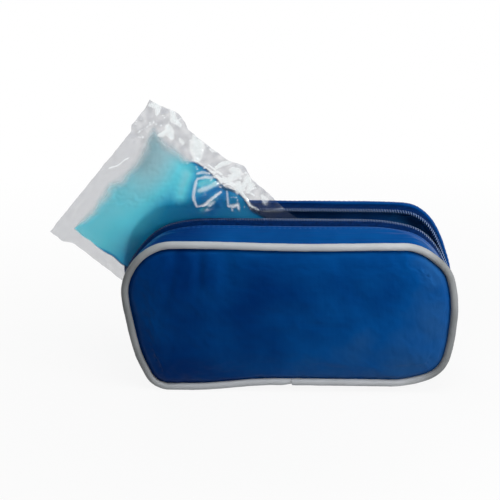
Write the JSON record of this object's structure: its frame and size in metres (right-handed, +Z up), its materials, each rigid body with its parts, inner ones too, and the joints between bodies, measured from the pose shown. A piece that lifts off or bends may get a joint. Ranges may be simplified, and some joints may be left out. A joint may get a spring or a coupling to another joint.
{
  "type": "insulin cooling case",
  "caption": "Small padded zip case with piped edges, standing open, with a flat gel ice pack leaning out of its top.",
  "frame": {"origin": "middle of the flat underside of the case", "axes": "+X to the right of the front panel, -Y toward the viewer, +Z up"},
  "size_m": [0.2493, 0.068, 0.1726],
  "materials": {
    "coated_fabric": "glossy coated nylon, navy blue",
    "lining": "satin nylon lining, blue",
    "foam": "matte closed-cell padding",
    "piping": "matte grey covered piping",
    "zip_tape": "woven tape, dark navy",
    "zip_teeth": "nylon coil, lavender blue sheen",
    "zip_metal": "dark lacquered die-cast metal",
    "clear_film": "clear flexible plastic film, creased",
    "blue_gel": "soft translucent blue gel"
  },
  "bodies": {
    "case": {"front_fabric_lower": "coated_fabric", "front_foam_lower": "foam", "front_lining_lower": "lining", "front_piping_lower": "piping", "back_fabric_lower": "coated_fabric", "back_foam_lower": "foam", "back_lining_lower": "lining", "back_piping_lower": "piping", "side_band_fabric": "coated_fabric", "side_band_foam": "foam", "side_band_lining": "lining", "left_tape_end": "zip_tape", "left_end_tab": "coated_fabric", "right_tape_end": "zip_tape", "right_end_tab": "coated_fabric", "left_end_teeth_front": "zip_teeth", "left_end_teeth_back": "zip_teeth", "right_end_teeth_front": "zip_teeth", "right_end_teeth_back": "zip_teeth", "closed_teeth": "zip_teeth", "bottom_stop": "zip_metal"},
    "front_flap": {"front_fabric_upper": "coated_fabric", "front_foam_upper": "foam", "front_lining_upper": "lining", "front_piping_upper": "piping", "front_strip_fabric": "coated_fabric", "front_strip_foam": "foam", "front_strip_lining": "lining", "front_zip_tape": "zip_tape", "front_zip_teeth": "zip_teeth", "front_top_stop": "zip_metal"},
    "back_flap": {"back_fabric_upper": "coated_fabric", "back_foam_upper": "foam", "back_lining_upper": "lining", "back_piping_upper": "piping", "back_strip_fabric": "coated_fabric", "back_strip_foam": "foam", "back_strip_lining": "lining", "back_zip_tape": "zip_tape", "back_zip_teeth": "zip_teeth", "back_top_stop": "zip_metal"},
    "zip_slider": {"slider_body": "zip_metal"},
    "zip_pull": {"pull_tab": "zip_metal"},
    "gel_pack": {"pack_film_front": "clear_film", "pack_film_back": "clear_film", "pack_gel": "blue_gel"}
  },
  "joints": [
    {"name": "front_flap_open", "type": "hinge", "parent": "case", "child": "front_flap", "pos_m": [0, -0.0342, 0.048], "axis": [1, 0, 0], "range_deg": [0, 20], "stiffness_Nm_per_rad": 0.5},
    {"name": "back_flap_open", "type": "hinge", "parent": "case", "child": "back_flap", "pos_m": [0, 0.0342, 0.048], "axis": [-1, 0, 0], "range_deg": [0, 20], "stiffness_Nm_per_rad": 0.5},
    {"name": "zip_slide", "type": "slide", "parent": "case", "child": "zip_slider", "axis": [0, 0, 1], "range_m": [-0.0045, 0]},
    {"name": "pull_tab_swing", "type": "hinge", "parent": "zip_slider", "child": "zip_pull", "pos_m": [0.1026, 0, 0.04505], "axis": [0, -1, 0], "range_deg": [0, 130]},
    {"name": "gel_pack_pull", "type": "slide", "parent": "case", "child": "gel_pack", "axis": [-0.7771, 0, 0.6293], "range_m": [0, 0.12]}
  ]
}
